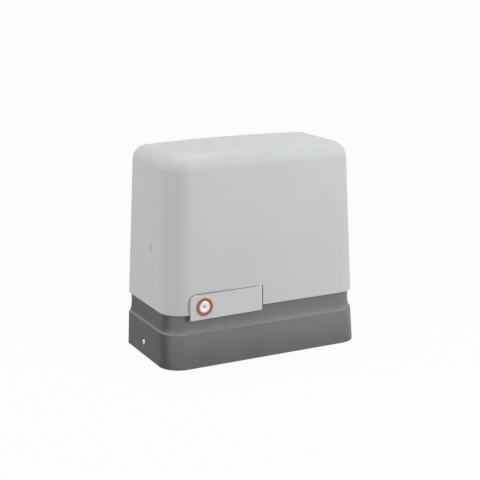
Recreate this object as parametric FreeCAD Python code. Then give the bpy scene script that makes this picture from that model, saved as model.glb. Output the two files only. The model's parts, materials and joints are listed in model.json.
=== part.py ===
"""Sliding gate motor: a die-cast base with the gearbox, an upright motor, a control board and a lift-off hood.

Frame, in millimetres: the origin is the centre of the base's underside, +X runs along the front to the right,
+Y points to the gate, where the pinion stands out, and +Z is up. The release lever is on the front, at -Y.
"""
import FreeCAD, Part
import math
import os

V = FreeCAD.Vector
X, Y, Z = V(1, 0, 0), V(0, 1, 0), V(0, 0, 1)
OUT = "parts"
os.makedirs(OUT, exist_ok=True)

# ---- driving dimensions ---------------------------------------------------------------------------------
base_length = 310.0          # skirt at the ground
base_front = -74.0
base_back = 74.0
base_corner = 30.5           # upright corners at the front
base_back_corner = 4.5
skirt_height = 48.7          # ground to the crisp shoulder
end_draft = 2.1              # the skirt leans in by this much at each end
front_draft = 3.5
cove_inset = 4.5             # shoulder to the recessed neck
cove_top = 65.0
rim_z = 84.0                 # top of the neck, inside the hood
floor_thickness = 8.0
end_wall = 5.0
front_wall = 6.0

hood_edge = 77.3             # lower edge of the hood
hood_top = 297.6
hood_half = 152.0            # half length at the lower edge
hood_front = -72.3
hood_back = 80.7
hood_corner = 32.0
hood_back_corner = 12.7
hood_top_half = 142.9        # the same outline carried up to the top
hood_top_front = -64.4
hood_top_back = 74.8
hood_round = 21.7            # rounding between the sides and the top
hood_crown = 2.3             # rise of the top's middle over its ends
hood_wall = 3.0

axle_z = 96.0                # output shaft, along Y, at x = 0
worm_module = 2.5
wheel_teeth = 30
worm_pitch_radius = 12.5
worm_y = 14.0                # plane of the worm's axis
pinion_module = 4.0
pinion_teeth = 16
pinion_y = 84.0
pinion_width = 20.0
shaft_radius = 12.5

bolt_x = 125.0               # mounting holes, from the centre
bolt_y = 45.0
bolt_hole_radius = 5.5
cable_x, cable_y = 80.0, 47.0
cable_bore = 7.5

lever_left = -120.5
lever_right = -7.0
lever_bottom = 70.0
lever_top = 105.0
lever_corner = 9.0
lever_barrel = 5.0           # round end about the hinge pin
lever_proud = -76.4          # front face at the free end
lever_crank = 7.0            # hinge pin to the driving pin
release_travel = 7.0
lock_x, lock_z = -99.6, 87.6
lock_radius = 8.0

running = 0.05               # radial clearance of everything that turns or slides in a bore

worm_pitch = math.pi * worm_module
wheel_pitch_radius = worm_module * wheel_teeth / 2
worm_x = -(wheel_pitch_radius + worm_pitch_radius)
hinge_x = lever_right - lever_barrel
hinge_front = -73.2
hinge_y = hinge_front + lever_barrel


# ---- shape helpers --------------------------------------------------------------------------------------
def box(x0, x1, y0, y1, z0, z1):
    return Part.makeBox(x1 - x0, y1 - y0, z1 - z0, V(x0, y0, z0))


def rod(x, y, z, direction, radius, length):
    return Part.makeCylinder(radius, length, V(x, y, z), direction)


def tube(x, y, z, direction, inner, outer, length):
    return rod(x, y, z, direction, outer, length).cut(rod(x, y, z, direction, inner, length))


def prism(points, height):
    """Solid on the closed outline through points, pushed along height."""
    return Part.Face(Part.makePolygon(points + points[:1])).extrude(height)


def lathe(profile, x, y, z, direction):
    """Solid of revolution: profile is (radius, height) pairs about the axis through x, y, z."""
    points = [V(r, 0, h) for r, h in profile]
    solid = Part.Face(Part.makePolygon(points + points[:1])).revolve(V(), Z, 360)
    solid.Placement = FreeCAD.Placement(V(x, y, z), FreeCAD.Rotation(Z, direction))
    return solid


def around(shape, centre, axis, count):
    """Copies of shape spaced evenly about an axis."""
    copies = []
    for i in range(count):
        copy = shape.copy()
        copy.rotate(centre, axis, 360.0 * i / count)
        copies.append(copy)
    return copies


def fuse(first, *others):
    return first.fuse(list(others)).removeSplitter()


def outline(z, half, front, back, r_front, r_back, bulge=0.0):
    """Rounded rectangle at height z, the same four sides and four corners every time so that outlines loft.

    With a bulge the two long sides arch up by that much at their middles.
    """
    c = math.sqrt(0.5)
    corners = [(-half, front, r_front, 1, 1), (half, front, r_front, -1, 1),
               (half, back, r_back, -1, -1), (-half, back, r_back, 1, -1)]
    ends = []
    for i, (x, y, r, sx, sy) in enumerate(corners):
        along_y, along_x = V(x, y + sy * r, z), V(x + sx * r, y, z)
        middle = V(x + sx * r * (1 - c), y + sy * r * (1 - c), z)
        ends.append((along_y, middle, along_x) if i % 2 == 0 else (along_x, middle, along_y))
    edges = []
    for i, (start, middle, end) in enumerate(ends):
        after = ends[(i + 1) % 4][0]
        edges.append(Part.Arc(start, middle, end).toShape())
        if bulge and i % 2 == 0:
            crest = (end + after) * 0.5 + V(0, 0, bulge)
            edges.append(Part.Arc(end, crest, after).toShape())
        else:
            edges.append(Part.LineSegment(end, after).toShape())
    return Part.Wire(edges)


def loft(sections):
    return Part.makeLoft(sections, True, True)


def bearing(x, y, z, direction, bore, outside, width):
    """Ball bearing as one ring with the shield recessed between its races."""
    land = (outside - bore) * 0.28
    step = width * 0.08
    return lathe([(bore, 0), (bore + land, 0), (bore + land, step), (outside - land, step), (outside - land, 0),
                  (outside, 0), (outside, width), (outside - land, width), (outside - land, width - step),
                  (bore + land, width - step), (bore + land, width), (bore, width)], x, y, z, direction)


def cap_screw(x, y, z, direction, radius, length):
    """Socket-head screw; the point is the underside of the head and direction is the way the head faces."""
    head = radius * 1.7
    socket = rod(0, 0, radius, Z, radius * 0.8, radius)
    screw = rod(0, 0, 0, Z, head, radius * 1.6).cut(socket).fuse(rod(0, 0, -length, Z, radius, length))
    screw.Placement = FreeCAD.Placement(V(x, y, z), FreeCAD.Rotation(Z, direction))
    return screw


def save(node, *solids):
    shape = solids[0] if len(solids) == 1 else Part.makeCompound(list(solids))
    if not shape.isValid() or shape.Volume <= 0:
        raise RuntimeError(node + " is not a sound solid")
    shape.exportStep(os.path.join(OUT, node + ".step"))
    print("%-24s %7.1f cm3" % (node, shape.Volume / 1000))


# ---- base casting: a tub with skirt, cove, neck and floor -----------------------------------------------
def base_section(z, lean, inset):
    """Outline of the casting; lean runs 0 to 1 over the skirt, and the back stays flat."""
    half = base_length / 2 - end_draft * lean - inset
    front = base_front + front_draft * lean + inset
    return outline(z, half, front, base_back, base_corner - inset, base_back_corner)


cove_steps = 6
sections = [base_section(0, 0, 0), base_section(skirt_height, 1, 0)]
for i in range(1, cove_steps + 1):
    turn = math.pi / 2 * i / cove_steps
    rise = (cove_top - skirt_height) * (1 - math.cos(turn))
    sections.append(base_section(skirt_height + rise, 1, cove_inset * math.sin(turn)))
sections.append(base_section(rim_z, 1, cove_inset))
casting = loft(sections)

neck_half = base_length / 2 - end_draft - cove_inset
neck_front = base_front + front_draft + cove_inset
bay_half = neck_half - end_wall
bay_front = neck_front + front_wall
bay_back = base_back - front_wall
bay = loft([outline(z, bay_half, bay_front, bay_back, 20, 4) for z in (floor_thickness, rim_z + 1)])
casting = casting.cut(bay)

boss_radius = 34.0            # the gear case's boss leaves through a notch in the back wall
cuts = [rod(0, bay_back - 1, axle_z, Y, boss_radius + 0.4, 10),
        rod(cable_x, cable_y, -1, Z, 12, 20)]
for sx in (-1, 1):
    for sy in (-1, 1):
        cuts.append(rod(sx * bolt_x, sy * bolt_y, -1, Z, bolt_hole_radius, 20))
# Clearance for the lever's round end in the neck.
cuts.append(box(hinge_x - lever_barrel - 0.6, lever_right + 0.6, neck_front - 1, hinge_y + lever_barrel + 0.6,
                lever_bottom - 0.5, rim_z + 1))

side_screw_y, side_screw_z = 15.0, 18.0
side_bosses = []
for side in (-1, 1):
    end = side * (base_length / 2 - end_draft * side_screw_z / skirt_height)
    inward = V(-side, 0, 0)
    side_bosses.append(rod(side * (bay_half + 1), side_screw_y, side_screw_z, inward, 8, 11))
    cuts.append(rod(end + side, side_screw_y, side_screw_z, inward, 6.0, 6.6))
    cuts.append(rod(end, side_screw_y, side_screw_z, inward, 3.0, 20))

grub_x, grub_y = 103.0, 52.0
for sx in (-1, 1):
    for sy in (-1, 1):
        cuts.append(rod(sx * grub_x, sy * grub_y, -1, Z, 4.0, 20))

case_feet = [(-56.0, 56.0), (56.0, 56.0), (-40.0, -26.0), (40.0, -26.0)]
cuts += [rod(x, y, 1.5, Z, 2.5, 20) for x, y in case_feet]
save("base_casting", fuse(casting, *side_bosses).cut(cuts))

# ---- gear case: worm tower, wheel drum and pinion boss in one casting, bolted to the tub's floor ---------
drum_radius = 49.0
gear_front = -20.0
gear_back = bay_back - 0.2
boss_back = 79.5
case_floor = floor_thickness + 0.1
deck_z = 152.0                # top of the gear case, where the motor stands
tower_half = 27.0
foot_height = 12.0
drum = rod(0, gear_front, axle_z, Y, drum_radius, gear_back - gear_front)
pedestal = box(-drum_radius, drum_radius, gear_front, gear_back, case_floor, axle_z)
tower = box(worm_x - tower_half, worm_x + tower_half, worm_y - tower_half, worm_y + tower_half,
            case_floor, deck_z)
tower = tower.makeFillet(8, [e for e in tower.Edges if abs(e.tangentAt(e.FirstParameter).z) > 0.9])
deck = rod(worm_x, worm_y, deck_z - 7, Z, 54, 7)
boss = rod(0, gear_back, axle_z, Y, boss_radius, boss_back - gear_back)
feet = [rod(x, y, case_floor, Z, 8, foot_height) for x, y in case_feet]
ear_angles = [30, 90, 150, 210, 270, 330]
ears = []
for angle in ear_angles:
    a = math.radians(angle)
    ears.append((drum_radius * math.cos(a), axle_z + drum_radius * math.sin(a)))
ear_solids = [rod(x, gear_front, z, Y, 7, 24) for x, z in ears]
gear_case = fuse(drum, pedestal, tower, deck, boss, *feet, *ear_solids)

chamber_radius = wheel_pitch_radius + worm_module + 3
chamber_back = 45.0
rear_bearing_y = 56.0
rear_bearing_width = 15.0
seal_y = 72.5
tie_radius = 46.0
tie_spots = [(worm_x + tie_radius * math.cos(math.radians(a)), worm_y + tie_radius * math.sin(math.radians(a)))
             for a in (45, 135, 225, 315)]
case_cuts = [rod(0, gear_front - 1, axle_z, Y, chamber_radius, chamber_back - gear_front + 1),
             rod(0, chamber_back - 1, axle_z, Y, 20, 20),
             rod(0, rear_bearing_y - 0.2, axle_z, Y, 26, 40),
             rod(worm_x, worm_y, 66, Z, 18, 70),
             rod(worm_x, worm_y, 53.8, Z, 17.5, 20),
             rod(worm_x, worm_y, 125.8, Z, 20, 30)]
# The foot of the case is cored from below, so that its walls stay of one thickness.
case_cuts += [box(-drum_radius + 6, drum_radius - 6, gear_front + 7, gear_back - 7, case_floor - 1, 38),
              box(worm_x - 21, worm_x + 21, worm_y - 21, worm_y + 21, case_floor - 1, 38)]
case_cuts += [rod(x, y, deck_z - 6, Z, 2.5, 10) for x, y in tie_spots]
case_cuts += [rod(x, y, case_floor - 1, Z, 2.7, 20) for x, y in case_feet]
case_cuts += [rod(x, gear_front - 1, z, Y, 2.5, 17) for x, z in ears]
save("gear_case", gear_case.cut(case_cuts))

side_screws = []
for side in (-1, 1):
    end = side * (base_length / 2 - end_draft * side_screw_z / skirt_height)
    side_screws.append(cap_screw(end - side * 5.2, side_screw_y, side_screw_z, V(side, 0, 0), 2.95, 12))
save("side_screws", *side_screws)

save("levelling_screws", *[rod(sx * grub_x, sy * grub_y, 0.3, Z, 3.95, 14).cut(
    rod(sx * grub_x, sy * grub_y, 10, Z, 2, 6)) for sx in (-1, 1) for sy in (-1, 1)])

grommet = lathe([(cable_bore, 0.5), (11.9, 0.5), (11.9, floor_thickness + 0.1), (16, floor_thickness + 0.1),
                 (15, 11), (cable_bore, 11)], cable_x, cable_y, 0, Z)
save("cable_grommet", grommet)

# ---- gearbox side cover, gasket and bearings --------------------------------------------------------------
gasket_thickness = 0.8
plate_back = gear_front - gasket_thickness
plate_front = plate_back - 6
boss_front = -40.0
front_bearing_y = -35.0
front_bearing_width = 14.0
plate_blank = Part.makeCylinder(drum_radius, 6, V(0, plate_front, axle_z), Y)
plate_blank = fuse(plate_blank, *[rod(x, plate_front, z, Y, 7, 6) for x, z in ears])
side_cover = plate_blank.fuse(rod(0, boss_front, axle_z, Y, 30, plate_front - boss_front + 1))
ribs = around(box(-2, 2, boss_front + 5, plate_front, axle_z + 20, axle_z + 44), V(0, 0, axle_z), Y, 6)
side_cover = fuse(side_cover, *ribs)
side_cover = side_cover.cut([rod(0, front_bearing_y - 0.2, axle_z, Y, 23.5, 30),
                             rod(0, boss_front - 1, axle_z, Y, 3 + running, 10)])
side_cover = side_cover.cut([rod(x, plate_front - 1, z, Y, 2.7, 8) for x, z in ears])
gasket = Part.makeCylinder(drum_radius, gasket_thickness, V(0, plate_back, axle_z), Y)
gasket = fuse(gasket, *[rod(x, plate_back, z, Y, 7, gasket_thickness) for x, z in ears])
gasket = gasket.cut(rod(0, plate_back - 1, axle_z, Y, chamber_radius, 5))
gasket = gasket.cut([rod(x, plate_back - 1, z, Y, 2.7, 5) for x, z in ears])
bracket_screws_at = [(-19, axle_z + 14), (19, axle_z + 14)]
side_cover = side_cover.cut([rod(x, boss_front - 1, z, Y, 2.0, 5) for x, z in bracket_screws_at])
save("gearbox_side_cover", side_cover)
save("gearbox_gasket", gasket)
save("front_shaft_bearing", bearing(0, front_bearing_y, axle_z, Y, 10 + running, 23.45, front_bearing_width))
save("rear_shaft_bearing", bearing(0, rear_bearing_y, axle_z, Y, shaft_radius + running, 25.95, rear_bearing_width))
seal = lathe([(shaft_radius + running, 0), (16, 0), (16, 3), (23, 3), (23, 0), (25.95, 0), (25.95, 6.8),
              (shaft_radius + 1.5, 6.8), (shaft_radius + running, 5)], 0, seal_y, axle_z, Y)
save("shaft_oil_seal", seal)
save("lower_worm_bearing", bearing(worm_x, worm_y, 54, Z, 7.5 + running, 17.45, 11))
save("upper_worm_bearing", bearing(worm_x, worm_y, 126, Z, 8.5 + running, 19.95, 12))

# ---- output shaft, pinion and key --------------------------------------------------------------------------
clutch_pin_y = -7.0
shaft_front = -34.9
shaft_end = pinion_y + pinion_width - 0.5
shaft = lathe([(0, 0), (9.95, 0), (9.95, -20.3 - shaft_front), (shaft_radius, -20.3 - shaft_front),
               (shaft_radius, 26.4 - shaft_front), (17, 26.4 - shaft_front), (17, 55.8 - shaft_front),
               (shaft_radius, 55.8 - shaft_front), (shaft_radius, shaft_end - shaft_front),
               (0, shaft_end - shaft_front)], 0, shaft_front, axle_z, Y)
slot = box(-3.3, 3.3, clutch_pin_y - 3.3 - release_travel, clutch_pin_y + 3.3, axle_z - 14, axle_z + 14)
bore = rod(0, shaft_front - 1, axle_z, Y, 3 + running, 36)
keyway = box(-4.05, 4.05, pinion_y + 1, shaft_end + 1, axle_z + shaft_radius - 4, axle_z + shaft_radius + 1)
bolt_bore = rod(0, shaft_end - 22, axle_z, Y, 3.95, 30)
groove = tube(0, 0.4, axle_z, Y, shaft_radius - 0.6, shaft_radius + 1, 1.3)
save("output_shaft", shaft.cut([slot, bore, keyway, bolt_bore, groove]))
save("shaft_key", box(-4, 4, pinion_y + 1.2, pinion_y + pinion_width - 1, axle_z + shaft_radius - 3.9,
                      axle_z + shaft_radius + 3))
clip = tube(0, 0.5, axle_z, Y, shaft_radius - 0.5, shaft_radius + 2, 1.1)
save("wheel_circlip", clip.cut(box(-2.5, 2.5, 0, 2, axle_z + 5, axle_z + 20)))


def involute_point(base_radius, radius, offset):
    """Point on an involute flank: its angle from the tooth's middle, mirrored by the caller."""
    pressure = math.acos(min(1.0, base_radius / radius))
    return offset - (math.tan(pressure) - pressure)


def gear_outline(teeth, module, play, steps, y, turn):
    """Closed wire of a spur gear in the plane at y, with its first tooth turned by turn about +Y from +Z."""
    pitch_r = module * teeth / 2
    base_r = pitch_r * math.cos(math.radians(20))
    root_r, tip_r = pitch_r - 1.2 * module, pitch_r + module
    inv20 = math.tan(math.radians(20)) - math.radians(20)
    half = (math.pi * module / 2 - play) / (2 * pitch_r) + inv20
    start = max(base_r, root_r)
    flank = []
    for i in range(steps + 1):
        r = start + (tip_r - start) * i / steps
        flank.append((r, involute_point(base_r, r, half)))
    tooth = [(root_r, -flank[0][1] - 0.02)] + [(r, -a) for r, a in flank]
    tooth += [(r, a) for r, a in reversed(flank)] + [(root_r, flank[0][1] + 0.02)]
    points = []
    for k in range(teeth):
        for r, a in tooth:
            angle = turn + a + 2 * math.pi * k / teeth
            points.append(V(r * math.sin(angle), y, axle_z + r * math.cos(angle)))
    return Part.makePolygon(points + points[:1])


pinion = Part.Face(gear_outline(pinion_teeth, pinion_module, 0.1, 3, pinion_y, 0)).extrude(V(0, pinion_width, 0))
pinion_bore = rod(0, pinion_y - 1, axle_z, Y, shaft_radius + 0.03, pinion_width + 2)
pinion_key = box(-4.1, 4.1, pinion_y - 1, pinion_y + pinion_width + 1, axle_z, axle_z + shaft_radius + 3.2)
tips = lathe([(0, 0), (34, 0), (36.1, 1.6), (36.1, pinion_width - 1.6), (34, pinion_width), (0, pinion_width)],
             0, pinion_y, axle_z, Y)
save("rack_pinion", pinion.common(tips).cut([pinion_bore, pinion_key]))
washer_y = pinion_y + pinion_width
save("pinion_washer", tube(0, washer_y, axle_z, Y, 4.3, 16, 2.5))
save("pinion_bolt", cap_screw(0, washer_y + 2.5, axle_z, Y, 3.9, 20))

# ---- worm wheel on its bush ---------------------------------------------------------------------------------
wheel_front, wheel_back = worm_y - 10, worm_y + 10
hub_front, hub_back = 2.0, 26.0
lead = worm_module / (2 * worm_pitch_radius)
rim_inner = 31.0
space_angle = math.pi / wheel_teeth


def wheel_section(y):
    """Tooth outline at y: turned with the worm's lead, with a tooth space facing the worm at worm_y."""
    turn = (y - worm_y) * lead / wheel_pitch_radius
    return gear_outline(wheel_teeth, worm_module, 0.26, 2, y, -math.pi / 2 + space_angle + turn)


rim = loft([wheel_section(wheel_front), wheel_section(wheel_back)])
save("worm_wheel_rim", rim.cut(rod(0, wheel_front - 1, axle_z, Y, rim_inner, 30)))
dog_inner, dog_outer, dog_depth = 15.5, 22.0, 4.6
wheel_hub = lathe([(15, hub_front), (25, hub_front), (25, 9), (rim_inner - 0.02, 9), (rim_inner - 0.02, 19),
                   (25, 19), (25, hub_back), (15, hub_back)], 0, 0, axle_z, Y)


def dog(width_degrees, y, depth):
    """One dog clutch tooth: a sector of a ring, centred on +Z."""
    half = math.radians(width_degrees / 2)
    r0, r1 = dog_inner, dog_outer

    def at(r, a):
        return V(r * math.sin(a), y, axle_z + r * math.cos(a))

    edges = [Part.Arc(at(r1, -half), at(r1, 0), at(r1, half)).toShape(),
             Part.LineSegment(at(r1, half), at(r0, half)).toShape(),
             Part.Arc(at(r0, half), at(r0, 0), at(r0, -half)).toShape(),
             Part.LineSegment(at(r0, -half), at(r1, -half)).toShape()]
    return Part.Face(Part.Wire(edges)).extrude(V(0, depth, 0))


pocket = fuse(dog(40, hub_front - 1, dog_depth + 1.4), box(-7.4, 7.4, hub_front - 1, hub_front + dog_depth + 0.4,
                                                          axle_z + dog_inner, axle_z + dog_outer + 0.4))
save("worm_wheel_hub", wheel_hub.cut(around(pocket, V(0, 0, axle_z), Y, 4)))
save("wheel_bush", tube(0, hub_front, axle_z, Y, shaft_radius + running, 14.98, hub_back - hub_front))

# ---- dog clutch and its pull rod ---------------------------------------------------------------------------
sleeve = tube(0, -12.5, axle_z, Y, shaft_radius + running, 22, 12.5)
sleeve = fuse(sleeve, *around(dog(33, -0.5, dog_depth + 0.5 + hub_front), V(0, 0, axle_z), Y, 4))
save("clutch_sleeve", sleeve.cut(rod(0, clutch_pin_y, axle_z - 23, Z, 3.0, 46)))
cross_pin = rod(0, clutch_pin_y, axle_z - 21, Z, 2.98, 42)
save("clutch_cross_pin", cross_pin.cut(rod(0, clutch_pin_y - 5, axle_z, Y, 1.5 + running, 10)))

hook_low, hook_high = 94.4, 97.4
pin_y = hinge_y + lever_crank
hook_front = pin_y - 3.8
hook_back = pin_y + 4.0
rod_front = hook_back + 0.2
hook = box(hinge_x - 11, 3, hook_back, hook_back + 3.2, hook_low, hook_high)
hook = fuse(hook, box(hinge_x - 11, hinge_x - 8.8, hook_front, hook_back + 1, hook_low, hook_high),
            box(hinge_x - 11, hinge_x + 2.4, hook_front, pin_y - 1.6, hook_low, hook_high))
pull_rod = fuse(rod(0, rod_front, axle_z, Y, 3, clutch_pin_y - 3.1 - rod_front),
                rod(0, clutch_pin_y - 4, axle_z, Y, 1.5, 9.5), hook)
save("release_pull_rod", pull_rod)
save("pull_rod_collar", tube(0, clutch_pin_y + 3.1, axle_z, Y, 1.52, 2.8, 1.6))

# ---- release bracket, hinge pin and lever ------------------------------------------------------------------
knuckle_low, knuckle_high = 84.8, 90.9
foot = rod(0, boss_front - 3, axle_z, Y, 28, 3).cut(rod(0, boss_front - 4, axle_z, Y, 9, 6))
foot = foot.common(box(-28, 28, boss_front - 4, boss_front + 1, knuckle_low, axle_z + 22))
arm = box(hinge_x - 2.5, hinge_x + 2.5, hinge_y, boss_front - 2.5, knuckle_low, knuckle_high)
knuckle = rod(hinge_x, hinge_y, knuckle_low, Z, 3.2, knuckle_high - knuckle_low)
bracket = fuse(foot, arm, knuckle)
bracket = bracket.cut([rod(hinge_x, hinge_y, knuckle_low - 1, Z, 1.5, 10)])
bracket = bracket.cut([rod(x, boss_front - 4, z, Y, 2.2, 6) for x, z in bracket_screws_at])
save("release_bracket", bracket)
save("gearbox_screws", *[cap_screw(x, plate_front, z, -Y, 2.45, 18) for x, z in ears],
     *[cap_screw(x, boss_front - 3, z, -Y, 1.95, 6) for x, z in bracket_screws_at],
     *[cap_screw(x, y, case_floor + foot_height, Z, 2.45, foot_height + 5.5) for x, y in case_feet])
save("lever_hinge_pin", rod(hinge_x, hinge_y, lever_bottom + 1, Z, 1.48, 21.5))

plate_rear = hinge_y - 3.6
plate_overlap = -72.8         # rear of the free end, which lies over the hood's face
slab = prism([V(lever_left, lever_proud, lever_bottom), V(hinge_x, hinge_front, lever_bottom),
              V(hinge_x, plate_rear, lever_bottom), V(lever_left + 5, plate_overlap, lever_bottom),
              V(lever_left, plate_overlap, lever_bottom)],
             V(0, 0, lever_top - lever_bottom))
corner = box(lever_left - 1, lever_left + lever_corner, -90, -60, lever_top - lever_corner, lever_top + 1)
corner = corner.cut(rod(lever_left + lever_corner, -90, lever_top - lever_corner, Y, lever_corner, 30))
round_end = rod(hinge_x, hinge_y, lever_bottom, Z, lever_barrel, lever_top - lever_bottom)
skin_end = round_end.common(box(hinge_x - 8, 0, -90, plate_rear, lever_bottom, lever_top))
barrel_high, cap_low = 94.0, 98.3
barrel = round_end.cut(box(-40, 0, -90, 0, barrel_high, cap_low))
relief = fuse(rod(hinge_x, hinge_y, knuckle_low - 0.3, Z, 3.6, knuckle_high - knuckle_low + 0.6),
              box(hinge_x - 2.8, 0, hinge_y - 2.8, 0, knuckle_low - 0.3, knuckle_high + 0.3))
crank_low = 91.4
crank = fuse(box(hinge_x - 2.5, hinge_x + 2.5, hinge_y, pin_y, crank_low, barrel_high),
             rod(hinge_x, pin_y, crank_low, Z, 2.5, barrel_high - crank_low),
             rod(hinge_x, pin_y, barrel_high - 1, Z, 1.5, 4.8))
lock_boss = rod(lock_x, -75, lock_z, Y, 9.7, 5.5)
lever = slab.cut(corner).fuse(skin_end).fuse(barrel.cut(relief))
lever = fuse(lever, crank, lock_boss)
ring_seat = -75.3
lever = lever.cut([rod(hinge_x, hinge_y, lever_bottom - 1, Z, 1.5 + running, 24),
                   rod(lock_x, -80, lock_z, Y, lock_radius + running, 20),
                   rod(lock_x, ring_seat - 5, lock_z, Y, 12.8, 5)])
save("release_lever", lever)

# ---- key lock ----------------------------------------------------------------------------------------------
lock_face = -76.7
bezel = lathe([(8.45, 0), (12.6, 0), (12.6, 0.9), (12.0, 1.4), (9.0, 1.4), (8.45, 0.9)],
              lock_x, ring_seat, lock_z, -Y)
save("lock_bezel_ring", bezel)
barrel_plug = lathe([(0, 0), (lock_radius, 0), (lock_radius, 5.2), (lock_radius - 0.5, 5.8), (6.6, 5.8),
                     (6.2, 5.4), (0, 5.4)], lock_x, -71.0, lock_z, -Y)
tail = rod(lock_x, -71.2, lock_z, Y, 5, 2.9)
plug = fuse(barrel_plug, tail)
plug = plug.cut(box(lock_x - 0.7, lock_x + 0.7, -80, -73, lock_z - 3.2, lock_z + 3.2))
save("lock_barrel", plug)
tongue = fuse(rod(lock_x, -68.2, lock_z, Y, 6, 1.8), box(lock_x, lock_x + 14.4, -68.2, -66.4, lock_z - 3, lock_z + 3))
save("lock_tongue", tongue)

# ---- motor ---------------------------------------------------------------------------------------------------
def motor(profile):
    return lathe(profile, worm_x, worm_y, 0, Z)


shield_low = deck_z
stack_low = shield_low + 18
stack_high = stack_low + 60
shield_high = stack_high + 24


def tie_holes(radius):
    return [rod(x, y, 100, Z, radius, 170) for x, y in tie_spots]


lower_shield = motor([(14, shield_low), (51, shield_low), (51, stack_low), (44, stack_low), (41, shield_low + 5),
                      (14, shield_low + 5)])
vents = around(box(worm_x + 42, worm_x + 60, worm_y - 6, worm_y + 6, shield_low + 7, stack_low - 4),
               V(worm_x, worm_y, 0), Z, 4)
save("lower_end_shield", lower_shield.cut(vents).cut(tie_holes(2.6)))
bore_radius = 26.4
stack = motor([(bore_radius, stack_low), (50, stack_low), (50, stack_high), (bore_radius, stack_high)])
slots = around(box(worm_x + bore_radius - 1, worm_x + 38, worm_y - 2.2, worm_y + 2.2, stack_low - 1, stack_high + 1),
               V(worm_x, worm_y, 0), Z, 12)
save("stator_stack", stack.cut(slots).cut(tie_holes(2.6)))
winding = [motor([(29, z0), (39, z0), (40.5, z0 + rise / 2), (38, z0 + rise), (30, z0 + rise), (28, z0 + rise / 2)])
           for z0, rise in ((stack_high + 0.2, 12.0), (stack_low - 12.2, 12.0))]
save("stator_windings", *winding)
upper_shield = motor([(44, stack_high), (51, stack_high), (51, stack_high + 12), (40, shield_high),
                      (7.5 + running + 1, shield_high), (8.6, shield_high - 1), (17.5, shield_high - 1),
                      (17.5, shield_high - 11), (21, shield_high - 11), (21, shield_high - 4),
                      (37, shield_high - 4), (44, stack_high + 12)])
top_vents = around(box(worm_x + 24, worm_x + 36, worm_y - 4, worm_y + 4, stack_high + 8, shield_high + 9),
                   V(worm_x, worm_y, 0), Z, 8)
spot_faces = [rod(x, y, stack_high + 12, Z, 4.8, 20) for x, y in tie_spots]
save("upper_end_shield", upper_shield.cut(top_vents).cut(tie_holes(2.6)).cut(spot_faces))
save("rotor_top_bearing", bearing(worm_x, worm_y, shield_high - 11.8, Z, 7.5 + running, 17.45, 10.6))
save("motor_tie_bolts", *[cap_screw(x, y, stack_high + 12, Z, 2.45, stack_high + 12 - deck_z + 5) for x, y in tie_spots])

rotor = motor([(8.02, stack_low + 1), (24, stack_low - 6), (26, stack_low - 6), (26, stack_high + 6),
               (24, stack_high + 6), (8.02, stack_high - 1)])
save("rotor_cage", rotor)
motor_shaft = motor([(0, 54.5), (7.5, 54.5), (7.5, 66), (9.5, 67), (9.5, 125), (8.5, 126), (8.5, deck_z), (8, deck_z + 1),
                     (8, shield_high - 12.2), (7.5, shield_high - 12.2), (7.5, shield_high + 18), (0, shield_high + 18)])
thread_turns = 5
thread_low = axle_z - worm_pitch * thread_turns / 2
thread_root, thread_tip = worm_pitch_radius - 1.2 * worm_module, worm_pitch_radius + worm_module
half_pitch_width = worm_pitch / 4 - 0.13
slope = math.tan(math.radians(20))
w_root = half_pitch_width + (worm_pitch_radius - thread_root + 0.3) * slope
w_tip = half_pitch_width - (thread_tip - worm_pitch_radius) * slope
helix = Part.makeHelix(worm_pitch, worm_pitch * thread_turns, worm_pitch_radius)
tooth = Part.makePolygon([V(thread_root - 0.3, 0, -w_root), V(thread_tip, 0, -w_tip), V(thread_tip, 0, w_tip),
                          V(thread_root - 0.3, 0, w_root), V(thread_root - 0.3, 0, -w_root)])
thread = Part.Wire(helix).makePipeShell([tooth], True, True)
thread.rotate(V(), Z, 180)
thread.translate(V(worm_x, worm_y, thread_low))
save("motor_worm_shaft", motor_shaft.fuse(thread))

fan_low = shield_high + 4
fan = motor([(7.55, fan_low), (14, fan_low), (14, fan_low + 10), (7.55, fan_low + 10)])
fan_disc = motor([(13, fan_low), (42, fan_low), (42, fan_low + 1.6), (13, fan_low + 1.6)])
blades = around(box(worm_x + 13, worm_x + 41, worm_y - 0.9, worm_y + 0.9, fan_low + 1, fan_low + 10),
                V(worm_x, worm_y, 0), Z, 8)
save("cooling_fan", fuse(fan, fan_disc, *blades))

# ---- run capacitor and transformer --------------------------------------------------------------------------
cap_x, cap_y, cap_radius = -115.0, -10.0, 17.5
can = lathe([(0, 12), (cap_radius - 1.5, 12), (cap_radius, 13.5), (cap_radius, 84), (cap_radius - 1.5, 85.5), (0, 85.5)],
            cap_x, cap_y, 0, Z)
tabs = [box(cap_x + s * 6 - 3, cap_x + s * 6 + 3, cap_y - 0.4, cap_y + 0.4, 85, 92) for s in (-1, 1)]
save("run_capacitor", fuse(can, *tabs))
clip = tube(cap_x, cap_y, floor_thickness + 0.1, Z, cap_radius + 0.1, cap_radius + 2.2, 22)
clip = fuse(clip, rod(cap_x, cap_y, floor_thickness + 0.1, Z, cap_radius + 2.2, 2.5))
save("capacitor_cup", clip)
coil_x, coil_y = 92.0, -2.0
toroid = lathe([(11, 10), (13, 8.1), (30, 8.1), (33, 11), (33, 44), (30, 47), (13, 47), (11, 45)],
               coil_x, coil_y, 0, Z)
save("mains_transformer", toroid)
save("transformer_washer", lathe([(0, 47.2), (22, 47.2), (20, 50), (6, 50), (6, 52), (0, 52)], coil_x, coil_y, 0, Z))

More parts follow.
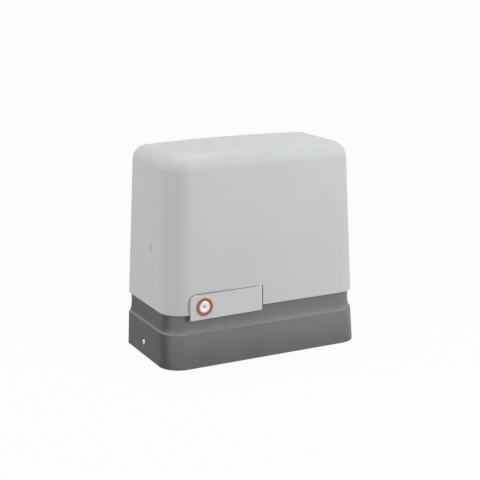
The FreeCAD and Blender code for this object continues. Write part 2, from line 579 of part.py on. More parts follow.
# ---- control board on its tray ----------------------------------------------------------------------------
board_left, board_right, board_low, board_high = 8.0, 126.0, 112.0, 230.0
tray = box(board_left - 4, board_right + 4, -49, -46.5, board_low - 6, board_high + 6)
rim_out = box(board_left - 4, board_right + 4, -53, -49, board_low - 6, board_high + 6)
rim_in = box(board_left - 2, board_right + 2, -54, -48, board_low - 4, board_high + 4)
legs = [box(x, x + 8, -54, -46.5, floor_thickness + 0.1, board_low - 5) for x in (58, 84)]
posts = [rod(x, -50, z, Y, 3, 2) for x in (board_left + 5, board_right - 5) for z in (board_low + 5, board_high - 5)]
save("board_tray", fuse(tray, rim_out.cut(rim_in), *legs, *posts))
board_face = -51.7
save("control_board", box(board_left, board_right, board_face, -50.1, board_low, board_high))


def on_board(x0, x1, depth, z0, z1):
    return box(x0, x1, board_face - 0.1 - depth, board_face - 0.1, z0, z1)


terminals = on_board(12, 121, 9, 115, 126)
terminals = terminals.cut([rod(15.7 + 5.08 * i, board_face - 20, 121, Y, 1.7, 14) for i in range(21)])
save("terminal_strip", terminals)
save("motor_relays", on_board(20, 36, 9, 134, 154), on_board(40, 56, 9, 134, 154))
save("fuse_holder", rod(66, board_face - 5.6, 140, X, 3.2, 22), on_board(63, 65.6, 9, 136, 144),
     on_board(88.4, 91, 9, 136, 144))
save("logic_processor", on_board(60, 82, 2.4, 176, 198))
save("receiver_module", on_board(96, 101, 8.5, 160, 215))
save("smoothing_capacitors", *[rod(x, board_face - 0.1, 222, -Y, 5, 9.3) for x in (24, 38, 52)])
save("trim_potentiometers", *[rod(x, board_face - 0.1, 166, -Y, 4, 6).cut(
    box(x - 3, x + 3, -60, board_face - 5, 165.4, 166.6)) for x in (24, 36, 48)])

# ---- limit switch with its spring whisker --------------------------------------------------------------------
limit_x, limit_z, limit_pivot_y = 24.0, 156.0, 68.0
whisker_radius = 3.0
shell = box(limit_x - 19, limit_x + 19, 50, 75, 146, 168)
hollow = box(limit_x - 17, limit_x + 17, 56, 76, 150, 163)
stand = box(limit_x - 17, limit_x + 17, 50, 58, axle_z + 30, 147).cut(rod(0, 40, axle_z, Y, drum_radius + 0.1, 40))
pivot_hole = rod(limit_x, limit_pivot_y, 140, Z, 1.52, 40)
save("limit_switch_body", fuse(shell.cut(hollow), stand).cut(pivot_hole))
ribs_count = 12
ribbed = [(0, 9.0)]
rib = 30.0 / ribs_count
for i in range(ribs_count):
    low = 9 + rib * i
    ribbed += [(whisker_radius - 0.7, low), (whisker_radius, low + rib * 0.3), (whisker_radius, low + rib * 0.7)]
ribbed += [(whisker_radius - 0.7, 39.0), (whisker_radius - 0.7, 44), (0, 44)]
whisker = lathe(ribbed, limit_x, limit_pivot_y, limit_z, Y)
head = rod(limit_x, limit_pivot_y, limit_z - 4, Z, 4, 8)
neck = rod(limit_x, limit_pivot_y, limit_z, Y, 2.2, 10)
save("limit_spring_whisker", whisker)
save("limit_lever_head", fuse(head, neck).cut([rod(limit_x, limit_pivot_y, limit_z - 10, Z, 1.5 + running, 20),
                                               rod(limit_x, limit_pivot_y + 8.95, limit_z, Y, 4, 8)]))
save("limit_pivot_pin", rod(limit_x, limit_pivot_y, 148, Z, 1.5, 18))

# ---- hood ------------------------------------------------------------------------------------------------------
def hood_section(z, inset, shrink, bulge=0.0):
    """Outline of the hood at z; inset is the wall or the rounding's run-in, shrink takes it off the corners."""
    rise = (z - hood_edge) / (hood_top - hood_edge)
    half = hood_half + (hood_top_half - hood_half) * rise - inset
    front = hood_front + (hood_top_front - hood_front) * rise + inset
    back = hood_back + (hood_top_back - hood_back) * rise - inset
    r_front, r_back = max(hood_corner - shrink, 3.0), max(hood_back_corner - shrink, 3.0)
    return outline(z, half, front, back, r_front, r_back, bulge)


def hood_blank(wall):
    """Solid out to the hood's skin, or to the inner face of its wall: straight sides, rounding, arched top."""
    radius = hood_round - wall
    spring = hood_top - hood_crown - hood_round
    rows = [hood_section(hood_edge - (1 if wall else 0), wall, wall)]
    steps = 9
    for i in range(steps + 1):
        turn = math.pi / 2 * i / steps
        run_in = wall + radius * (1 - math.cos(turn))
        rows.append(hood_section(spring + radius * math.sin(turn), run_in, run_in, hood_crown))
    rows.append(hood_section(hood_top + 2, wall + radius, wall + radius))
    crown_radius = (hood_top_half - hood_round) ** 2 / (2 * hood_crown)
    crest = hood_top - wall - 0.25
    return loft(rows).common(Part.makeCylinder(crown_radius, 300, V(0, -150, crest - crown_radius), Y))


hood = hood_blank(0).cut(hood_blank(hood_wall))
notch_left, notch_right = -118.0, lever_right + 0.6
lever_notch = box(notch_left, notch_right, hood_front - 5, hood_front + 20, hood_edge - 1, lever_top + 0.4)
pinion_notch = fuse(box(-37, 37, 60, 90, hood_edge - 1, axle_z), rod(0, 60, axle_z, Y, 37, 30))
whisker_slot = fuse(box(limit_x - 12.5, limit_x + 12.5, 60, 90, hood_edge - 1, limit_z),
                    rod(limit_x, 60, limit_z, Y, 12.5, 30))
catch_z = 161.5               # shallow thumb mark over the inner catch, one at each end
marks = [box(*sorted((side * 147.9, side * 152)), -8.1, -5.1, catch_z - 5.5, catch_z + 5.5) for side in (-1, 1)]
rests = []
for side in (-1, 1):
    for y in (-30, 40):
        rests.append(box(*sorted((side * 141.5, side * 149)), y - 1.2, y + 1.2, rim_z + 0.2, 120))
hood = hood.fuse(rests).cut([lever_notch, pinion_notch, whisker_slot, *marks])
save("hood", hood)
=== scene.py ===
# %% [markdown]
# # A sliding gate motor, dressed
#
# The solids of the motor come ready-made as a fixed frame. This lesson gives them their looks in Blender:
# smooth skins, fine edges, the small pieces that are easier to model by hand, paint, plastic and steel, and
# a plain studio. Everything is in metres. The middle of the base's underside is the origin, +Z is up, and
# the front faces -Y.

# %% Load the frame
import json
import math
import bpy
from mathutils import Matrix, Vector

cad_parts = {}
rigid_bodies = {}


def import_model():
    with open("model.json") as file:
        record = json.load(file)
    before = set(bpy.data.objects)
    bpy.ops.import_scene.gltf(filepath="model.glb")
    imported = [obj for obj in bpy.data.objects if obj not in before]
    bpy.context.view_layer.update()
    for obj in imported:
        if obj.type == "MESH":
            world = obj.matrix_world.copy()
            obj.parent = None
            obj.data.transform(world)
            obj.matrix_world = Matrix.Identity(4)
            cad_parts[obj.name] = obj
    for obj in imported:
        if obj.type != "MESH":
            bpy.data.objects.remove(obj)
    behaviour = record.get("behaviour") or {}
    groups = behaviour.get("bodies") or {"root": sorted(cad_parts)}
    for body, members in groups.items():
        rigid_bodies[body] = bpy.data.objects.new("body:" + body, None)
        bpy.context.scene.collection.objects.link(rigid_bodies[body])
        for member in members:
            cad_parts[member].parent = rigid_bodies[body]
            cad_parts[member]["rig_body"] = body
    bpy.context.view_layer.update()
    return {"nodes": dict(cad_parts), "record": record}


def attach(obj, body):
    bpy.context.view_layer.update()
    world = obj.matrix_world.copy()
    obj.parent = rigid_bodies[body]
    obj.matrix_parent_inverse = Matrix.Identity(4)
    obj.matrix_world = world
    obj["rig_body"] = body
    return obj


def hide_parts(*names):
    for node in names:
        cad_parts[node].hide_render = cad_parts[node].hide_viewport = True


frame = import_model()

MM = 0.001
nodes = frame["nodes"]

# %% [markdown]
# ## Writing shader maths as plain expressions
#
# Procedural finishes are small sums over noise, height and direction. Wiring them node by node is slow to
# read, so one class wraps a socket and turns `a * 2 + b` into Math nodes. A second class owns the material,
# and its one method adds any other node by type, settings and inputs.

# %% A socket that Python can calculate with
class Amount:
    """One value socket in a material; arithmetic on it adds Math nodes."""

    def __init__(self, finish, socket):
        self.finish, self.socket = finish, socket

    def _math(self, operation, *values):
        return self.finish.add("ShaderNodeMath", {"operation": operation}, dict(enumerate(values)))

    def __add__(self, other):
        return self._math("ADD", self, other)

    def __sub__(self, other):
        return self._math("SUBTRACT", self, other)

    def __rsub__(self, other):
        return self._math("SUBTRACT", other, self)

    def __mul__(self, other):
        return self._math("MULTIPLY", self, other)

    def __truediv__(self, other):
        return self._math("DIVIDE", self, other)

    def __rtruediv__(self, other):
        return self._math("DIVIDE", other, self)

    def __pow__(self, other):
        return self._math("POWER", self, other)

    __radd__, __rmul__ = __add__, __mul__

    def clamp(self):
        return self.finish.add("ShaderNodeClamp", {}, {"Value": self})

    def step(self, low, high):
        """0 below low, 1 above high, smooth between."""
        return self.finish.add("ShaderNodeMapRange", {"interpolation_type": "SMOOTHSTEP"},
                               {"Value": self, "From Min": low, "From Max": high})

    def blend(self, first, second):
        """Colour that goes from first to second as this value goes from 0 to 1."""
        return self.finish.add("ShaderNodeMix", {"data_type": "RGBA"}, {0: self, 6: first, 7: second}, out=2)


# %% A material with its node tree
class Finish:
    """A Principled material; add() makes any node and gives back one of its outputs as an Amount."""

    def __init__(self, name, colour, roughness, metallic=0.0, **constants):
        self.material = bpy.data.materials.new(name)
        self.material.use_nodes = True
        self.tree = self.material.node_tree
        self.shader = self.tree.nodes["Principled BSDF"]
        self.shader.inputs["Base Color"].default_value = (*colour, 1.0)
        self.shader.inputs["Roughness"].default_value = roughness
        self.shader.inputs["Metallic"].default_value = metallic
        for key, value in constants.items():
            self.shader.inputs[key.replace("_", " ")].default_value = value
        self.material.diffuse_color = (*colour, 1.0)

    def add(self, kind, settings, inputs, out=0):
        node = self.tree.nodes.new(kind)
        for key, value in settings.items():
            setattr(node, key, value)
        for key, value in inputs.items():
            if isinstance(value, Amount):
                self.tree.links.new(value.socket, node.inputs[key])
            elif isinstance(value, tuple) and len(value) == 3 and node.inputs[key].type == "RGBA":
                node.inputs[key].default_value = (*value, 1.0)
            else:
                node.inputs[key].default_value = value
        return Amount(self, node.outputs[out])

    def place(self):
        return self.add("ShaderNodeTexCoord", {}, {}, out="Object")

    def axis(self, name):
        return self.add("ShaderNodeSeparateXYZ", {}, {0: self.place()}, out=name)

    def stretched(self, x, y, z):
        return self.add("ShaderNodeMapping", {}, {"Vector": self.place(), "Scale": (x, y, z)})

    def noise(self, scale, detail=2.0, rough=0.5, where=None):
        inputs = {"Vector": where or self.place(), "Scale": scale, "Detail": detail, "Roughness": rough}
        return self.add("ShaderNodeTexNoise", {}, inputs)

    def feed(self, socket, value):
        self.tree.links.new(value.socket, self.shader.inputs[socket])
        return self

    def bump(self, height, strength, distance):
        inputs = {"Strength": strength, "Distance": distance, "Height": height}
        normal = self.add("ShaderNodeBump", {}, inputs)
        return self.feed("Normal", normal)


print("shader helpers ready")

# %% [markdown]
# ## The light grey hood and lever: moulded plastic
#
# The hood is one large injection moulding with a very fine spark-eroded grain, so it looks satin: no sharp
# mirror, but a soft sheen on the roundings. A dense noise gives the grain as bump, and a wide, faint noise
# keeps the big faces from being one dead colour, as thickness and handling do on a real moulding.

# %% Moulded plastic
def moulded(name, colour, roughness, grain=1700.0, depth=0.00004):
    finish = Finish(name, colour, roughness, IOR=1.46, Specular_IOR_Level=0.42)
    cloud = finish.noise(9.0, 3.0)
    darker = tuple(c * 0.965 for c in colour)
    finish.feed("Base Color", cloud.step(0.3, 0.7).blend(darker, colour))
    finish.feed("Roughness", finish.noise(34.0, 3.0) * 0.1 + (roughness - 0.05))
    finish.bump(finish.noise(grain, 2.0, 0.6), 0.22, depth)
    return finish.material


hood_plastic = moulded("hood_moulded_grey", (0.60, 0.615, 0.622), 0.46)
lever_plastic = moulded("lever_moulded_grey", (0.635, 0.65, 0.66), 0.42, grain=2200.0)
black_plastic = moulded("black_moulded", (0.03, 0.03, 0.033), 0.5)
white_plastic = moulded("white_moulded", (0.68, 0.68, 0.66), 0.36)
green_plastic = moulded("green_moulded", (0.03, 0.22, 0.08), 0.42)
yellow_tape = moulded("yellow_wound_tape", (0.52, 0.40, 0.06), 0.45)
print("plastics:", hood_plastic.name, lever_plastic.name)

# %% [markdown]
# ## The grey base: paint over a die casting
#
# The casting is sprayed with a mid-grey semi-gloss enamel. Paint on a casting is never flat: it has orange
# peel a few millimetres wide. Height along Z finds the bottom of the skirt, where painted shade makes the tone
# fall off a little towards the floor. Two more terms are painted light, not something that paint does: the
# upward part of the normal paints a highlight on the shoulder and the cove, and its sideways part paints
# shade on the two ends. A plain white studio has no dark side for the casting to mirror, so without them the
# base would look flat.

# %% Painted casting
def painted_casting(name, colour):
    finish = Finish(name, colour, 0.38, IOR=1.5, Specular_IOR_Level=0.1)
    height = finish.axis("Z")
    facing_way = finish.add("ShaderNodeNewGeometry", {}, {}, out="Normal")
    upward = finish.add("ShaderNodeSeparateXYZ", {}, {0: facing_way}, out="Z")
    sideways = finish.add("ShaderNodeSeparateXYZ", {}, {0: facing_way}, out="X")
    # painted highlight: faces that look up, the shoulder and the cove, are paler, mottled by noise; the same
    # mask also makes them rougher
    painted_top_highlight = upward.step(0.05, 0.9) * (finish.noise(60.0, 4.0).step(0.3, 0.75) * 0.25 + 0.45)
    # painted shade: faces that look along X, the two ends of the base, are darker
    painted_end_shade = (sideways * sideways).step(0.35, 1.0) * 0.6
    # painted shade: the tone darkens towards the floor over the lowest 50 mm of the skirt
    painted_floor_shade = (1 - height.step(0.0, 0.05)) * 0.25
    mottle = finish.noise(14.0, 3.0).step(0.25, 0.75) * 0.12
    lighter = tuple(min(1.0, c * 1.55 + 0.02) for c in colour)
    darker = tuple(c * 0.56 for c in colour)
    # the colour adds the painted highlight and a random mottle, and takes away painted shade on the ends and
    # near the floor
    finish.feed("Base Color", (painted_top_highlight + mottle - painted_floor_shade - painted_end_shade + 0.54).clamp().blend(darker, lighter))
    finish.feed("Roughness", painted_top_highlight * 0.3 + finish.noise(90.0, 3.0) * 0.08 + 0.34)
    peel = finish.noise(420.0, 1.0) * 0.7 + finish.noise(1500.0, 2.0) * 0.3
    finish.bump(peel, 0.35, 0.00006)
    return finish.material


base_paint = painted_casting("base_grey_enamel", (0.172, 0.172, 0.174))
print("paint:", base_paint.name)

# %% [markdown]
# ## Metals
#
# Zinc-plated screws, turned shafts, cast end shields and bronze all use one recipe: a metallic base, a
# roughness that wanders, and a bump that is either streaked along one axis, as a lathe leaves it, or
# grainy, as sand leaves it.

# %% Metal recipe
def metal(name, colour, roughness, streaks=(1.0, 1.0, 1.0), scale=300.0, strength=0.15, depth=0.00005):
    finish = Finish(name, colour, roughness, 1.0)
    where = finish.stretched(*streaks)
    fine = finish.noise(scale, 3.0, 0.6, where)
    stain = finish.noise(40.0, 3.0)
    darker = tuple(c * 0.78 for c in colour)
    finish.feed("Base Color", stain.step(0.3, 0.7).blend(darker, colour))
    finish.feed("Roughness", fine * 0.18 + (roughness - 0.09))
    finish.bump(fine, strength, depth)
    return finish.material


bright_steel = metal("zinc_plated_steel", (0.66, 0.66, 0.67), 0.28)
dark_steel = metal("machined_steel", (0.32, 0.32, 0.33), 0.34, streaks=(1.0, 12.0, 1.0))
bearing_steel = metal("ground_bearing_steel", (0.58, 0.58, 0.59), 0.2)
lock_chrome = metal("polished_lock_face", (0.80, 0.80, 0.81), 0.16, scale=500.0, strength=0.05)
cast_alloy = metal("cast_alloy", (0.52, 0.52, 0.53), 0.5, scale=700.0, strength=0.5, depth=0.00012)
bronze = metal("wheel_bronze", (0.56, 0.35, 0.15), 0.32)
can_aluminium = metal("drawn_can", (0.62, 0.62, 0.63), 0.3, streaks=(1.0, 1.0, 0.1), strength=0.04)
print("metals ready")

# %% [markdown]
# ## Laminations, winding, board, rubber
#
# The stator is a stack of thin sheets, so fine rings run round it: a wave along Z. The winding is varnished
# copper wire, shown by a wave with noise in it. The board is green laminate with faint copper tracks under
# the lacquer.

# %% Electrical finishes
def banded(name, dark, light, roughness, metallic, pitch, direction="Z"):
    finish = Finish(name, light, roughness, metallic)
    inputs = {"Vector": finish.place(), "Scale": 1.0 / pitch, "Distortion": 0.6, "Detail": 1.0}
    wave = finish.add("ShaderNodeTexWave", {"bands_direction": direction, "wave_profile": "SIN"}, inputs, out=1)
    finish.feed("Base Color", wave.step(0.2, 0.8).blend(dark, light))
    finish.feed("Roughness", wave * -0.12 + (roughness + 0.08))
    finish.bump(wave, 0.5, 0.0003)
    return finish.material


lamination_steel = banded("stacked_laminations", (0.10, 0.10, 0.11), (0.30, 0.30, 0.31), 0.4, 0.9, 0.006)
copper_winding = banded("varnished_winding", (0.22, 0.07, 0.02), (0.55, 0.22, 0.08), 0.3, 0.6, 0.009)


def laminate(name, mask, track):
    finish = Finish(name, mask, 0.3)
    grid = finish.add("ShaderNodeTexBrick", {"offset": 0.5}, {
        "Vector": finish.stretched(1.0, 1.0, 1.0), "Scale": 60.0, "Mortar Size": 0.05, "Brick Width": 0.9,
        "Row Height": 0.22}, out=1)
    finish.feed("Base Color", grid.clamp().blend(mask, track))
    finish.feed("Roughness", finish.noise(120.0, 2.0) * 0.12 + 0.24)
    return finish.material


board_laminate = laminate("board_laminate", (0.012, 0.11, 0.05), (0.03, 0.19, 0.09))
black_rubber = moulded("black_rubber", (0.022, 0.022, 0.022), 0.72, grain=900.0, depth=0.00008)
gasket_sheet = moulded("gasket_sheet", (0.10, 0.08, 0.06), 0.8)
orange_ring = moulded("orange_ring", (0.46, 0.115, 0.055), 0.38, grain=2600.0)
print("electrical finishes ready")

# %% [markdown]
# ## Give every solid its finish
#
# Each solid of the frame names a material slot in the frame's record. One table from slot to finish
# therefore paints all of them, and nothing can be forgotten: a slot that is missing here stops the script.

# %% Paint the solids by slot
slot_finish = {
    "cast_grey_paint": base_paint, "hood_plastic": hood_plastic, "lever_plastic": lever_plastic,
    "orange_plastic": orange_ring, "bright_steel": bright_steel, "dark_steel": dark_steel,
    "bearing_steel": bearing_steel, "lock_chrome": lock_chrome, "cast_alloy": cast_alloy, "bronze": bronze,
    "black_rubber": black_rubber, "gasket_paper": gasket_sheet, "lamination_steel": lamination_steel,
    "copper_winding": copper_winding, "black_plastic": black_plastic, "white_plastic": white_plastic,
    "green_plastic": green_plastic, "board_laminate": board_laminate, "can_aluminium": can_aluminium,
    "tape_yellow": yellow_tape,
}
slot_of = {part["node"]: part["material_slot"] for part in frame["record"]["subparts"]}
for name, solid in nodes.items():
    solid.data.materials.clear()
    solid.data.materials.append(slot_finish[slot_of[name]])
print("painted", len(nodes), "solids with", len(slot_finish), "finishes")

# %% [markdown]
# ## Smooth skins over the solids
#
# A solid from CAD arrives as loose triangles: flat facets and knife-sharp edges. Every solid gets a skin, a
# copy whose doubled points are merged, so that round walls can be shaded round. The outside pieces are also
# dissolved to clean faces and take a small bevel on their hard edges, because a real moulded or cast edge
# always catches a little light. Weighted normals then keep the big flat faces flat right up to the bevels.

# %% Skin helper
def only(piece):
    bpy.ops.object.select_all(action="DESELECT")
    piece.select_set(True)
    bpy.context.view_layer.objects.active = piece


def finish_modifier(piece, kind, **settings):
    """Adds a modifier with its settings and applies it."""
    only(piece)
    modifier = piece.modifiers.new(kind.lower(), kind)
    for key, value in settings.items():
        setattr(modifier, key, value)
    bpy.ops.object.modifier_apply(modifier=modifier.name)


def fit_notch(hood):
    """Webs the notch's corner to follow the lever's round corner, and narrows the gap beside the lever."""
    notch_left, notch_right, notch_top = -118.0, -6.4, 105.4
    reach, narrowing, web = 0.05, 0.4, 8.0
    corners = hood.data.vertices
    for corner in corners:
        at_notch = corner.co.y < -60 * MM and corner.co.z < (notch_top + 0.2) * MM
        if at_notch and abs(corner.co.x - notch_right * MM) < reach * MM:
            corner.co.x -= narrowing * MM
    for part in (*hood.data.polygons, *hood.data.edges, *corners):
        part.select = False
    for edge in hood.data.edges:
        ends = [corners[end].co / MM for end in edge.vertices]
        edge.select = all(abs(end.x - notch_left) < reach and abs(end.z - notch_top) < reach and end.y < 0
                          for end in ends)
    print("edges at the notch corner:", sum(edge.select for edge in hood.data.edges))
    bpy.ops.object.mode_set(mode="EDIT")
    bpy.ops.mesh.select_mode(type="EDGE")
    bpy.ops.mesh.bevel(offset=web * MM, segments=8, affect="EDGES")
    bpy.ops.object.mode_set(mode="OBJECT")


def skin(node, edge=0.0, segments=2, angle=28.0, prepare=None):
    """A smooth copy that stands for a solid; edge is the width of the bevel on its hard corners."""
    piece = bpy.data.objects.new(node + "_skin", nodes[node].data.copy())
    bpy.context.scene.collection.objects.link(piece)
    only(piece)
    bpy.ops.object.mode_set(mode="EDIT")
    bpy.ops.mesh.select_all(action="SELECT")
    bpy.ops.mesh.remove_doubles(threshold=0.000005)
    if edge:
        bpy.ops.mesh.dissolve_limited(angle_limit=math.radians(0.4))
    bpy.ops.object.mode_set(mode="OBJECT")
    if prepare:
        prepare(piece)
    if edge:
        finish_modifier(piece, "BEVEL", width=edge, segments=segments, limit_method="ANGLE",
                        angle_limit=math.radians(35), use_clamp_overlap=True, harden_normals=False)
    bpy.ops.object.shade_smooth_by_angle(angle=math.radians(angle))
    if edge:
        finish_modifier(piece, "WEIGHTED_NORMAL", keep_sharp=True, weight=80, mode="FACE_AREA")
    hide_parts(node)
    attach(piece, nodes[node]["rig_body"])
    return piece


# %% [markdown]
# ## Turned pieces, made by hand
#
# Screws, lock and spring are too fine to leave as plain solids. A turned piece starts as one point. The
# point is extruded on and on to draw half the outline, and the line is spun round Z. Cross slots and
# keyholes are cut by a cutter, which is a cube shaped in edit mode. At the end the mesh itself is moved to
# its place, so that every finished object stays at the origin.

# %% Helpers for hand-made pieces
def turned(name, profile, steps=48):
    """A piece spun about Z from (radius, height) pairs in millimetres."""
    bpy.ops.object.select_all(action="DESELECT")
    bpy.ops.mesh.primitive_plane_add(size=MM, location=(0, 0, 0))
    piece = bpy.context.active_object
    piece.name = name
    bpy.ops.object.mode_set(mode="EDIT")
    bpy.ops.mesh.select_all(action="SELECT")
    bpy.ops.mesh.merge(type="CENTER")
    bpy.ops.transform.translate(value=(profile[0][0] * MM, 0, profile[0][1] * MM))
    for (r0, h0), (r1, h1) in zip(profile, profile[1:]):
        bpy.ops.mesh.extrude_vertices_move(
            TRANSFORM_OT_translate={"value": ((r1 - r0) * MM, 0, (h1 - h0) * MM)})
    bpy.ops.mesh.select_all(action="SELECT")
    bpy.ops.mesh.spin(steps=steps, angle=math.tau, center=(0, 0, 0), axis=(0, 0, 1))
    bpy.ops.mesh.select_all(action="SELECT")
    bpy.ops.mesh.remove_doubles(threshold=0.000002)
    bpy.ops.mesh.normals_make_consistent(inside=False)
    bpy.ops.object.mode_set(mode="OBJECT")
    return piece


def cutter(x, y, z, sides, taper=1.0):
    """A cube about x, y, z with these sides in millimetres; its lower end is narrowed by taper."""
    bpy.ops.object.select_all(action="DESELECT")
    bpy.ops.mesh.primitive_cube_add(size=MM, location=(0, 0, 0))
    piece = bpy.context.active_object
    bpy.ops.object.mode_set(mode="EDIT")
    bpy.ops.mesh.select_all(action="SELECT")
    bpy.ops.transform.resize(value=sides, center_override=(0, 0, 0))
    bpy.ops.transform.translate(value=(x * MM, y * MM, z * MM))
    bpy.ops.object.mode_set(mode="OBJECT")
    middle = Vector((x, y, z)) * MM
    for corner in piece.data.vertices:
        if corner.co.z < middle.z:
            corner.co.x = middle.x + (corner.co.x - middle.x) * taper
            corner.co.y = middle.y + (corner.co.y - middle.y) * taper
    return piece


def carve(piece, *tools):
    """Cuts each tool out of the piece and throws the tool away."""
    for tool in tools:
        finish_modifier(piece, "BOOLEAN", operation="DIFFERENCE", object=tool, solver="EXACT")
        bpy.data.objects.remove(tool)
    return piece


def settle(piece, node, slot, place, soft=0.0):
    """Softens the edges, moves the mesh to its place and lets the piece stand for its solid."""
    only(piece)
    if soft:
        finish_modifier(piece, "BEVEL", width=soft, segments=2, limit_method="ANGLE",
                        angle_limit=math.radians(40))
    bpy.ops.object.shade_smooth_by_angle(angle=math.radians(30))
    piece.data.transform(place)
    piece.data.materials.clear()
    piece.data.materials.append(slot_finish[slot])
    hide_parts(node)
    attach(piece, nodes[node]["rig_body"])
    return piece


def facing(x, y, z, direction, roll=0.0):
    """Where a piece turned about Z goes: its zero at x, y, z (mm), its top towards direction."""
    turn = Vector(direction).to_track_quat("Z", "Y").to_matrix().to_4x4()
    return Matrix.Translation(Vector((x, y, z)) * MM) @ turn @ Matrix.Rotation(math.radians(roll), 4, "Z")


# %% Cross-headed screws at the two ends of the base
made_by_hand = set()
head = [(0, 5.7), (1.3, 5.6), (2.6, 5.3), (3.8, 4.7), (4.7, 3.7), (5.15, 2.2), (5.2, 0.6), (5.0, 0.1),
        (2.95, 0),
        (2.95, -10.6), (2.3, -11.8), (0, -11.8)]
base_half, end_draft, skirt_height = 155.0, 2.1, 48.7
screw_back, screw_height, recess_depth = 15.0, 18.0, 5.2
for name, side in (("end_screw_left", -1), ("end_screw_right", 1)):
    screw = turned(name, head)
    carve(screw, cutter(0, 0, 5.2, (5.0, 1.1, 3.2), 0.6), cutter(0, 0, 5.2, (1.1, 5.0, 3.2), 0.6))
    end = side * (base_half - end_draft * screw_height / skirt_height - recess_depth)
    settle(screw, "side_screws", "bright_steel", facing(end, screw_back, screw_height, (side, 0, 0), 20.0 * side), 0.00008)
    print(name, "faces:", len(screw.data.polygons))
made_by_hand.add("side_screws")

# %% The lock: a dished, polished face with a keyhole
face = [(0, 4.75), (1.9, 4.8), (3.7, 5.0), (4.7, 5.3), (5.2, 5.75), (5.5, 5.8), (6.6, 5.8), (7.4, 5.7),
        (7.85, 5.45),
        (8.0, 5.1), (8.0, 0), (5.0, 0), (5.0, -3.0), (0, -3.0)]
lock = turned("lock_face", face, 64)
keyhole_bore = turned("keyhole_bore", [(0, 7.0), (1.15, 7.0), (1.15, 2.2), (0, 2.2)], 24)
carve(lock, keyhole_bore, cutter(0, 0, 4.4, (0.9, 5.4, 4.4)))
settle(lock, "lock_barrel", "lock_chrome", facing(-99.6, -71.0, 87.6, (0, -1, 0)), 0.00006)
made_by_hand.add("lock_barrel")
print("lock faces:", len(lock.data.polygons), "box:", [round(c / MM, 1) for c in lock.dimensions])

# %% [markdown]
# ## A coil spring and a wound ring
#
# The limit switch feels its stops with a close coil of spring wire. A small circle is stood up beside the
# axis and the Screw modifier carries it round and up. The transformer is a ring core with wire wound
# through its hole: one torus is stretched into an oblong turn, and copies of it stand all round the core,
# each with a mesh of its own.

# %% The feeler's spring
def wound(name, wire, radius, pitch, turns, low):
    """A closed coil of round wire about Z that starts at height low (mm)."""
    bpy.ops.object.select_all(action="DESELECT")
    bpy.ops.mesh.primitive_circle_add(vertices=8, radius=wire * MM, location=(0, 0, 0))
    piece = bpy.context.active_object
    piece.name = name
    bpy.ops.object.mode_set(mode="EDIT")
    bpy.ops.mesh.select_all(action="SELECT")
    bpy.ops.transform.rotate(value=math.pi / 2, orient_axis="X", center_override=(0, 0, 0))
    bpy.ops.transform.translate(value=(radius * MM, 0, low * MM))
    bpy.ops.object.mode_set(mode="OBJECT")
    finish_modifier(piece, "SCREW", angle=math.tau, screw_offset=pitch * MM, iterations=turns, steps=20,
                    render_steps=20)
    bpy.ops.object.mode_set(mode="EDIT")
    bpy.ops.mesh.select_all(action="SELECT")
    bpy.ops.mesh.fill_holes(sides=0)
    bpy.ops.mesh.normals_make_consistent(inside=False)
    bpy.ops.object.mode_set(mode="OBJECT")
    return piece


def joined(main, *others):
    only(main)
    for other in others:
        other.select_set(True)
    bpy.ops.object.join()
    return main


spring = wound("feeler_spring", 0.55, 2.4, 1.2, 24, 10.0)
core = turned("feeler_core", [(0, 9.0), (1.6, 9.0), (1.6, 39.5), (2.6, 39.5), (2.7, 40.0), (2.7, 42.6),
                              (2.2, 43.6), (1.2, 44.0), (0, 44.0)], 24)
collar = turned("feeler_collar", [(0, 9.0), (2.95, 9.0), (2.95, 10.4), (2.2, 11.0), (0, 11.0)], 24)
feeler = joined(spring, core, collar)
settle(feeler, "limit_spring_whisker", slot_of["limit_spring_whisker"], facing(24.0, 68.0, 156.0, (0, 1, 0)))
made_by_hand.add("limit_spring_whisker")
print("feeler faces:", len(feeler.data.polygons))

# %% The transformer's core and its turns of wire
here = Matrix.Translation(Vector((92.0, -2.0, 0.0)) * MM)
core = turned("transformer_core", [(12, 12), (13.5, 9.6), (29.5, 9.6), (31.4, 12), (31.4, 43), (29.5, 45.5),
                                   (13.5, 45.5), (12, 43), (12, 12)], 64)
settle(core, "mains_transformer", "tape_yellow", here)
turn_count, wire_radius = 66, 0.95
turns = []
for index in range(turn_count):
    bpy.ops.object.select_all(action="DESELECT")
    bpy.ops.mesh.primitive_torus_add(major_segments=24, minor_segments=6, major_radius=10.0 * MM,
                                     minor_radius=wire_radius * MM, location=(0, 0, 0))
    turn_of_wire = bpy.context.active_object
    turn_of_wire.data.transform(Matrix.Rotation(math.pi / 2, 4, "X"))
    for corner in turn_of_wire.data.vertices:
        corner.co.z += math.copysign(8.4 * MM, corner.co.z)
    lift = Matrix.Translation(Vector((22.0, 0.0, 27.5)) * MM)
    turn_of_wire.data.transform(Matrix.Rotation(math.tau * index / turn_count, 4, "Z") @ lift)
    turns.append(turn_of_wire)
coil = joined(*turns)
coil.name = "transformer_winding"
settle(coil, "mains_transformer", "copper_winding", here)
made_by_hand.add("mains_transformer")
print("winding faces:", len(coil.data.polygons))

# %% Skins for all the solids
outer_edges = {"hood": 0.0003, "base_casting": 0.0003, "release_lever": 0.0004, "lock_bezel_ring": 0.0002}
smoothing = {"base_casting": 16.0}
fitting = {"hood": fit_notch}
skins = {}
for node in nodes:
    if node not in made_by_hand:
        edge, angle = outer_edges.get(node, 0.0), smoothing.get(node, 28.0)
        skins[node] = skin(node, edge, angle=angle, prepare=fitting.get(node))
print("skins:", len(skins), "faces in all:", sum(len(piece.data.polygons) for piece in skins.values()))

# %% [markdown]
# ## The studio
#
# A plain pale floor and backdrop, and large soft lamps. The background is white by colour: where the camera
# looks straight at the floor it sees mostly a plain white glow, while the floor still takes the object's
# soft shadow.

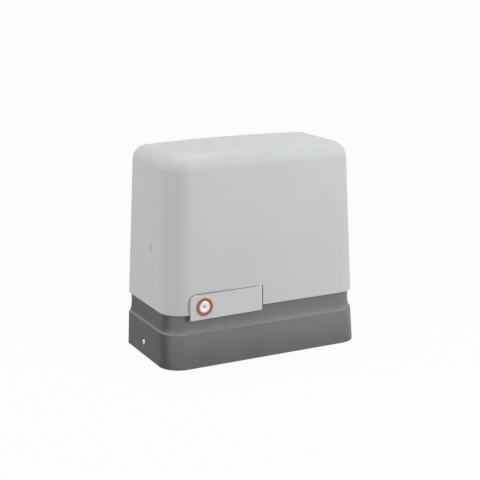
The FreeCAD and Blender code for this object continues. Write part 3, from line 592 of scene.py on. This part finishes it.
# %% Floor
bpy.ops.object.select_all(action="DESELECT")
bpy.ops.mesh.primitive_plane_add(size=80.0, location=(0, 0, -0.0002))
floor = bpy.context.object
floor.name = "studio_floor"
floor_finish = Finish("studio_floor", (0.45, 0.45, 0.45), 0.9, Specular_IOR_Level=0.1)
glow = floor_finish.add("ShaderNodeEmission", {}, {"Color": (1.0, 1.0, 1.0), "Strength": 1.0})
seen = floor_finish.add("ShaderNodeLightPath", {}, {}, out="Is Camera Ray")
for kind in ("Is Glossy Ray", "Is Transmission Ray"):
    seen = seen + floor_finish.add("ShaderNodeLightPath", {}, {}, out=kind)
mixed = floor_finish.add("ShaderNodeMixShader", {}, {0: seen.clamp() * 0.96, 2: glow})
floor_finish.tree.links.new(floor_finish.shader.outputs[0], mixed.socket.node.inputs[1])
surface = floor_finish.tree.nodes["Material Output"].inputs["Surface"]
floor_finish.tree.links.new(mixed.socket, surface)
floor.data.materials.append(floor_finish.material)
print("floor", tuple(floor.dimensions))

# %% World
world = bpy.data.worlds.new("studio_world")
bpy.context.scene.world = world
world.use_nodes = True
sky = world.node_tree
sky.nodes.clear()
path = sky.nodes.new("ShaderNodeLightPath")
seen = path.outputs["Is Camera Ray"]
for kind in ("Is Glossy Ray", "Is Transmission Ray"):
    most = sky.nodes.new("ShaderNodeMath")
    most.operation = "MAXIMUM"
    sky.links.new(seen, most.inputs[0])
    sky.links.new(path.outputs[kind], most.inputs[1])
    seen = most.outputs[0]
ambient = sky.nodes.new("ShaderNodeBackground")
ambient.inputs["Color"].default_value = (1.0, 1.0, 1.0, 1.0)
ambient.inputs["Strength"].default_value = 0.30
white = sky.nodes.new("ShaderNodeBackground")
white.inputs["Strength"].default_value = 1.0
white.inputs["Color"].default_value = (1.0, 1.0, 1.0, 1.0)
blend = sky.nodes.new("ShaderNodeMixShader")
out = sky.nodes.new("ShaderNodeOutputWorld")
sky.links.new(seen, blend.inputs[0])
sky.links.new(ambient.outputs[0], blend.inputs[1])
sky.links.new(white.outputs[0], blend.inputs[2])
sky.links.new(blend.outputs[0], out.inputs["Surface"])
print("world ready")

# %% Lamps
middle = Vector((0.0, 0.0, 0.15))


def soft_lamp(name, direction, distance, size, power):
    lamp = bpy.data.lights.new(name, "AREA")
    lamp.shape = "SQUARE"
    lamp.size = size
    lamp.energy = power
    holder = bpy.data.objects.new(name, lamp)
    bpy.context.scene.collection.objects.link(holder)
    away = Vector(direction).normalized()
    holder.location = middle + away * distance
    holder.rotation_mode = "QUATERNION"
    holder.rotation_quaternion = away.to_track_quat("Z", "Y")
    return holder


soft_lamp("lamp_top", (0.0, 0.05, 1.0), 1.5, 1.2, 10.7)
soft_lamp("lamp_front", (0.342, -0.940, 0.30), 1.6, 0.7, 10.9)
soft_lamp("lamp_right", (0.883, -0.469, 0.30), 1.6, 0.7, 3.5)
soft_lamp("lamp_left", (-0.985, -0.174, 0.30), 1.6, 0.7, 3.9)
soft_lamp("lamp_left_back", (-0.940, 0.342, 0.30), 1.6, 0.7, 5.0)
print("lamps placed")

# %% Camera
turn, dip = math.radians(27.12), math.radians(14.0)
looking = Vector((math.sin(turn) * math.cos(dip), math.cos(turn) * math.cos(dip), -math.sin(dip)))
camera = bpy.data.objects.new("camera", bpy.data.cameras.new("camera"))
bpy.context.scene.collection.objects.link(camera)
camera.location = Vector((-738.1, -1428.5, 554.6)) * MM
camera.rotation_mode = "QUATERNION"
camera.rotation_quaternion = (-looking).to_track_quat("Z", "Y")
camera.data.sensor_width = 36.0
camera.data.lens = 85.9
bpy.context.scene.camera = camera
bpy.context.scene.view_settings.view_transform = "Standard"
print("camera", tuple(round(c, 3) for c in camera.location))
